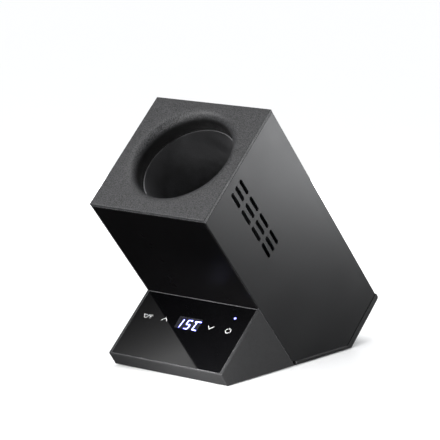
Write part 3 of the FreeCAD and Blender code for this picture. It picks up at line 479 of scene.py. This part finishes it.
def brushedMetal(name, colour, rough, stretch):
    # metal drawn or brushed along one axis of the object
    mat = surface(name, colour, rough, 0.5, 0.004, metallic=1.0, wearAndSheen=2.0, wearAndSheenColour=(0.8, 0.8, 0.8))
    tree = mat.node_tree
    shader = tree.nodes["Principled BSDF"]
    place = tree.nodes.new("ShaderNodeTexCoord")
    along = tree.nodes.new("ShaderNodeMapping")
    along.inputs["Scale"].default_value = stretch
    lines = tree.nodes.new("ShaderNodeTexNoise")
    lines.inputs["Scale"].default_value = brushLook["scale"]
    lines.inputs["Detail"].default_value = brushLook["detail"]
    tree.links.new(place.outputs["Object"], along.inputs["Vector"])
    tree.links.new(along.outputs[0], lines.inputs["Vector"])
    bump = tree.nodes.new("ShaderNodeBump")
    bump.inputs["Distance"].default_value = brushLook["depth"] * mm
    bump.inputs["Strength"].default_value = brushLook["strength"]
    tree.links.new(lines.outputs["Fac"], bump.inputs["Height"])
    tree.links.new(bump.outputs["Normal"], shader.inputs["Normal"])
    return mat


def makeMaterials():
    # the wear values set a painted highlight along each material's edges, partly real wear
    return {
        "shell_paint": surface("satinPaint", (0.0040, 0.0040, 0.0044), 0.35, 0.7, 0.03, specular=0.30,
                               wearAndSheen=5.0, wearAndSheenColour=(0.14, 0.14, 0.15), edge=0.3, shift=0.3,
                               roughSpread=0.02),
        "cover_plastic": sparkCover(),
        "front_gloss": surface("pianoBlack", (0.0020, 0.0019, 0.0021), 0.30, 3.0, 0.002, specular=0.02,
                               wearAndSheen=16.0, edge=0.5, shift=0.05, wearAndSheenColour=(0.30, 0.30, 0.30),
                               roughSpread=0.03, strength=0.15),
        "tray_plastic": surface("trayPlastic", (0.0035, 0.0035, 0.0038), 0.40, 0.5, 0.03, specular=0.30,
                                wearAndSheen=2.5, wearAndSheenColour=(0.08, 0.08, 0.08), edge=0.4),
        "console_plastic": surface("consolePlastic", (0.0155, 0.0155, 0.016), 0.44, 0.9, 0.14, specular=0.20,
                                   wearAndSheen=7.0, edge=0.35, shift=0.3, wearAndSheenColour=(0.26, 0.26, 0.27)),
        "touch_glass": surface("touchGlass", (0.0010, 0.0010, 0.0012), 0.04, 4.0, 0.001, specular=0.35,
                               wearAndSheen=5.0, edge=0.3, shift=0.05, wearAndSheenColour=(0.16, 0.16, 0.17),
                               roughSpread=0.02, strength=0.1),
        "tape_black": surface("foamTape", (0.01, 0.01, 0.01), 0.8, 0.4, 0.03),
        "zinc_steel": brushedMetal("zincSteel", (0.52, 0.53, 0.54), 0.36, (0.05, 1, 1)),
        "black_screw": surface("blackScrew", (0.035, 0.035, 0.037), 0.34, 0.3, 0.01, metallic=0.9,
                               wearAndSheen=3.0, wearAndSheenColour=(0.35, 0.35, 0.35)),
        "bright_pin": brushedMetal("brightPin", (0.78, 0.78, 0.80), 0.18, (1, 0.2, 1)),
        "foot_rubber": surface("footRubber", (0.012, 0.012, 0.012), 0.82, 0.35, 0.05, specular=0.3),
        "grille_plastic": surface("grillePlastic", (0.014, 0.014, 0.015), 0.46, 0.5, 0.03, wearAndSheen=1.5,
                                  wearAndSheenColour=(0.09, 0.09, 0.09)),
        "inlet_plastic": surface("inletPlastic", (0.02, 0.02, 0.02), 0.4, 0.4, 0.02),
        "cup_aluminium": brushedMetal("anodisedCup", (0.27, 0.27, 0.28), 0.50, (1, 1, 0.06)),
        "gasket_rubber": surface("gasketRubber", (0.008, 0.008, 0.008), 0.85, 0.3, 0.05, specular=0.25),
        "rest_silicone": surface("restSilicone", (0.022, 0.022, 0.024), 0.62, 0.4, 0.03),
        "foam_black": beadFoam(),
        "board_green": circuitBoard(),
        "component_black": surface("moulding", (0.02, 0.02, 0.022), 0.42, 0.4, 0.02),
        "display_black": surface("displayBody", (0.01, 0.01, 0.011), 0.35, 0.5, 0.01),
        "led_white": glow("ledLamp", (0.72, 0.82, 1.0), 2.0),
        "touch_foam": surface("touchFoam", (0.06, 0.06, 0.065), 0.85, 0.5, 0.08),
        "ceramic_white": surface("alumina", (0.72, 0.72, 0.69), 0.5, 0.3, 0.01, shift=0.04),
        "pad_grey": surface("thermalPad", (0.20, 0.21, 0.22), 0.75, 0.4, 0.02),
        "sensor_resin": surface("sensorResin", (0.015, 0.015, 0.015), 0.3, 0.5, 0.01),
        "block_aluminium": brushedMetal("milledBlock", (0.70, 0.71, 0.72), 0.30, (0.1, 1, 1)),
        "sink_aluminium": brushedMetal("extrudedSink", (0.66, 0.67, 0.69), 0.38, (0.04, 1, 1)),
        "fan_plastic": surface("fanNylon", (0.012, 0.012, 0.0125), 0.44, 0.6, 0.03, wearAndSheen=1.5,
                               wearAndSheenColour=(0.08, 0.08, 0.08)),
        "fan_copper": brushedMetal("windings", (0.62, 0.27, 0.12), 0.32, (1, 1, 0.2)),
        "magnet_ferrite": surface("ferrite", (0.05, 0.05, 0.05), 0.6, 0.3, 0.03, metallic=0.3),
        "bearing_bronze": brushedMetal("bronze", (0.52, 0.36, 0.16), 0.4, (1, 1, 0.3)),
        "shaft_steel": brushedMetal("groundSteel", (0.72, 0.72, 0.73), 0.2, (1, 1, 0.2)),
        "lead_pvc": surface("leadJacket", (0.012, 0.012, 0.012), 0.5, 0.5, 0.01),
        "ribbon_grey": surface("ribbonCable", (0.28, 0.29, 0.30), 0.5, 0.6, 0.02),
    }


materials = makeMaterials()
nodeSlots = {row["node"]: row["material_slot"] for row in record["subparts"]}
for name, node in nodes.items():
    for index in range(len(node.material_slots)):
        node.material_slots[index].material = materials[nodeSlots[name]]
print("materials made:", len(materials))


def newPiece(name, bm, material):
    mesh = bpy.data.meshes.new(name)
    bm.to_mesh(mesh)
    bm.free()
    mesh.materials.append(material)
    piece = bpy.data.objects.new(name, mesh)
    bpy.context.scene.collection.objects.link(piece)
    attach(piece, "cabinet")


overlap = 0.6  # how far a stroke runs past its ends, in widths
arcStep = 12  # degrees
hexCorner = 0.577  # corner radius of a hexagon that is one unit across its flats


def addBar(bm, start, end, width, rise):
    # one straight stroke between two points, flat on the glass
    first, last = Vector(start), Vector(end)
    along = last - first
    spin = Matrix.Rotation(math.atan2(along.y, along.x), 4, "Z")
    size = Matrix.Diagonal((along.length + width * overlap, width, rise, 1))
    middle = (first + last) / 2
    place = Matrix.Translation((middle.x, middle.y, rise / 2))
    bmesh.ops.create_cube(bm, size=1.0, matrix=place @ spin @ size)


def addArc(bm, centre, radius, fromDeg, sweepDeg, width, rise):
    # a curved stroke: its end section spun round the centre
    start = math.radians(fromDeg)
    out = Vector((math.cos(start), math.sin(start), 0))
    middle = Vector((centre[0], centre[1], 0))
    inner = middle + out * (radius - width / 2)
    outer = middle + out * (radius + width / 2)
    lift = Vector((0, 0, rise))
    corners = [bm.verts.new(p) for p in (inner, outer, outer + lift, inner + lift)]
    section = bm.faces.new(corners)
    geometry = corners + list(section.edges) + [section]
    closed = abs(sweepDeg) >= 360
    bmesh.ops.spin(bm, geom=geometry, cent=middle, axis=(0, 0, 1), angle=math.radians(sweepDeg),
                   steps=max(6, int(abs(sweepDeg) / arcStep)), use_merge=closed, use_duplicate=False)
    if closed:
        bmesh.ops.delete(bm, geom=[section], context="FACES_ONLY")


def addSegment(bm, centre, length, width, upright, rise):
    # one bar of a digit: a long hexagon with pointed ends
    hexagon = bmesh.ops.create_circle(bm, cap_ends=True, segments=6, radius=width * hexCorner)
    verts = hexagon["verts"]
    for vert in verts:
        vert.co.x += math.copysign((length - width) / 2, vert.co.x)
    face = verts[0].link_faces[0]
    grown = bmesh.ops.extrude_face_region(bm, geom=[face])
    tops = [g for g in grown["geom"] if isinstance(g, bmesh.types.BMVert)]
    bmesh.ops.translate(bm, verts=tops, vec=(0, 0, rise))
    turn = Matrix.Rotation(math.radians(90 if upright else 0), 4, "Z")
    bmesh.ops.transform(bm, matrix=Matrix.Translation(centre) @ turn, verts=verts + tops)


def leaning(middleY, slope):
    # leans strokes like italics, about a line across the glass
    shear = Matrix.Identity(4)
    shear[0][1] = slope
    return Matrix.Translation((0, middleY, 0)) @ shear


def layOnGlass(bm, lift):
    # millimetres on the glass to metres in the object's frame
    bmesh.ops.scale(bm, vec=(mm, mm, mm), verts=bm.verts)
    bmesh.ops.transform(bm, matrix=panelFrame @ Matrix.Translation((0, 0, lift * mm)), verts=bm.verts)
    bmesh.ops.recalc_face_normals(bm, faces=bm.faces)


symbols = {
    "row": -27.7, "stroke": 0.22, "rise": 0.03, "slope": 0.1,
    "unitsX": -47.4, "upX": -26.9, "downX": 25.4, "powerX": 45.7,
    "arrowHalf": 3.1, "arrowTip": 1.9, "arrowFoot": 1.6,
    "ring": 2.6, "ringFrom": 125, "ringSweep": 290, "barLow": 1.3, "barHigh": 3.5,
}


def addArrow(bm, x, way):
    s = symbols
    tip = (x, way * s["arrowTip"], 0)
    for side in (-1, 1):
        foot = (x + side * s["arrowHalf"], -way * s["arrowFoot"], 0)
        addBar(bm, foot, tip, s["stroke"], s["rise"])


def addPower(bm, x):
    # a broken ring and a bar
    s = symbols
    addArc(bm, (x, 0), s["ring"], s["ringFrom"], s["ringSweep"], s["stroke"], s["rise"])
    addBar(bm, (x, s["barLow"], 0), (x, s["barHigh"], 0), s["stroke"], s["rise"])


units = {
    # degree C over degree F: bars as left, low, right, high from the symbol's middle
    "stroke": 0.8, "fine": 0.7, "degreesX": (-4.6, 1.7), "degreesY": 1.55, "degreeRadius": 0.45,
    "letterX": -2.0, "letterRadius": 1.65, "letterFrom": 50, "letterSweep": 260,
    "slash": (-0.6, -2.2, 0.9, 2.2),
    "bars": ((3.1, -1.8, 3.1, 1.8), (3.1, 1.8, 5.1, 1.8), (3.1, 0.1, 4.7, 0.1)),
}


def addUnits(bm, x):
    u = units
    rise = symbols["rise"]
    thin = symbols["stroke"] * u["stroke"]
    for left in u["degreesX"]:
        addArc(bm, (x + left, u["degreesY"]), u["degreeRadius"], 0, 360, thin * u["fine"], rise)
    addArc(bm, (x + u["letterX"], 0), u["letterRadius"], u["letterFrom"], u["letterSweep"], thin, rise)
    strokes = [(u["slash"], thin * u["stroke"])] + [(bar, thin) for bar in u["bars"]]
    for (left, low, right, high), width in strokes:
        addBar(bm, (x + left, low, 0), (x + right, high, 0), width, rise)


def symbolPiece(material):
    s = symbols
    bm = bmesh.new()
    addArrow(bm, s["upX"], 1)
    addArrow(bm, s["downX"], -1)
    addPower(bm, s["powerX"])
    addUnits(bm, s["unitsX"])
    bmesh.ops.transform(bm, matrix=leaning(s["row"], s["slope"]), verts=bm.verts)
    layOnGlass(bm, 0.0)
    newPiece("key_symbols", bm, material)


digits = {
    "middleY": -28.9, "height": 9.6, "width": 4.5, "stroke": 0.9, "slope": 0.14, "rise": 0.03,
    "oneX": -6.9, "fiveX": 0.7, "letterX": 10.6, "halo": 0.8, "gap": 0.15,
    "degreeX": 7.0, "degreeDrop": 0.6, "degreeRadius": 0.8, "degreeStroke": 0.7, "degreeSwell": 0.6,
}
segmentPlaces = {
    # bar: offset across and up in half widths and half heights, upright or level
    "a": (0, 1, False), "b": (1, 0.5, True), "c": (1, -0.5, True), "d": (0, -1, False),
    "e": (-1, -0.5, True), "f": (-1, 0.5, True), "g": (0, 0, False),
}


def addDigit(bm, x, bars, swell):
    d = digits
    halfWide, halfHigh = d["width"] / 2, d["height"] / 2
    for bar in bars:
        across, up, upright = segmentPlaces[bar]
        length = (halfHigh if upright else d["width"]) + swell - d["gap"]
        middle = (x + across * halfWide, up * halfHigh, 0)
        addSegment(bm, middle, length, d["stroke"] + swell, upright, d["rise"])


def displayLayer(name, material, swell, lift):
    d = digits
    bm = bmesh.new()
    addDigit(bm, d["oneX"] - d["width"] / 2, "bc", swell)
    addDigit(bm, d["fiveX"], "afgcd", swell)
    addDigit(bm, d["letterX"], "afed", swell)
    degreeY = d["height"] / 2 - d["degreeDrop"]
    stroke = d["degreeStroke"] + swell * d["degreeSwell"]
    addArc(bm, (d["degreeX"], degreeY), d["degreeRadius"], 0, 360, stroke, d["rise"])
    bmesh.ops.transform(bm, matrix=leaning(d["middleY"], d["slope"]), verts=bm.verts)
    layOnGlass(bm, lift)
    newPiece(name, bm, material)


window = {"width": 26.0, "height": 13.4, "rise": 0.02, "corner": 0.8, "x": 0.4, "y": -27.7}


def displayWindow():
    # the smoked window that the digits show through
    w = window
    bm = bmesh.new()
    bmesh.ops.create_cube(bm, size=1.0, matrix=Matrix.Diagonal((w["width"], w["height"], w["rise"], 1)))
    uprights = [e for e in bm.edges if abs(e.verts[0].co.z - e.verts[1].co.z) > w["rise"] / 2]
    bmesh.ops.bevel(bm, geom=uprights, offset=w["corner"], segments=4, profile=0.5, affect="EDGES",
                    material=-1)
    bmesh.ops.translate(bm, verts=bm.verts, vec=(w["x"], w["y"], w["rise"] / 2))
    layOnGlass(bm, 0.0)
    smoked = surface("smokedWindow", (0.010, 0.010, 0.012), 0.25, 0.9, 0.01, specular=0.25, shift=0.6)
    newPiece("display_window", bm, smoked)


statusLamp = {"x": 45.3, "y": -13.2, "core": 0.85, "halo": 1.40, "rise": 0.03, "sides": 24, "taper": 0.9}


def lampDot(name, material, radius, lift):
    lamp = statusLamp
    bm = bmesh.new()
    bmesh.ops.create_cone(bm, cap_ends=True, segments=lamp["sides"], radius1=radius,
                          radius2=radius * lamp["taper"], depth=lamp["rise"])
    bmesh.ops.translate(bm, verts=bm.verts, vec=(lamp["x"], lamp["y"], lamp["rise"] / 2))
    layOnGlass(bm, lift)
    newPiece(name, bm, material)


layer = 0.03  # each lit layer lies this far above the last, in millimetres
whiteGlow = glow("whiteGlow", (0.93, 0.95, 1.0), 1.0)
blueGlow = glow("blueGlow", (0.01, 0.02, 0.75), 0.75)
symbolPiece(glow("symbolPrint", (0.90, 0.90, 0.90), 1.15))
displayWindow()
displayLayer("digit_halo", blueGlow, digits["halo"], layer)
displayLayer("digit_bars", whiteGlow, 0.0, 2 * layer)
lampDot("status_halo", blueGlow, statusLamp["halo"], 0.0)
lampDot("status_light", whiteGlow, statusLamp["core"], layer)
print("touch glass printed and lit")

print("pieces in place")
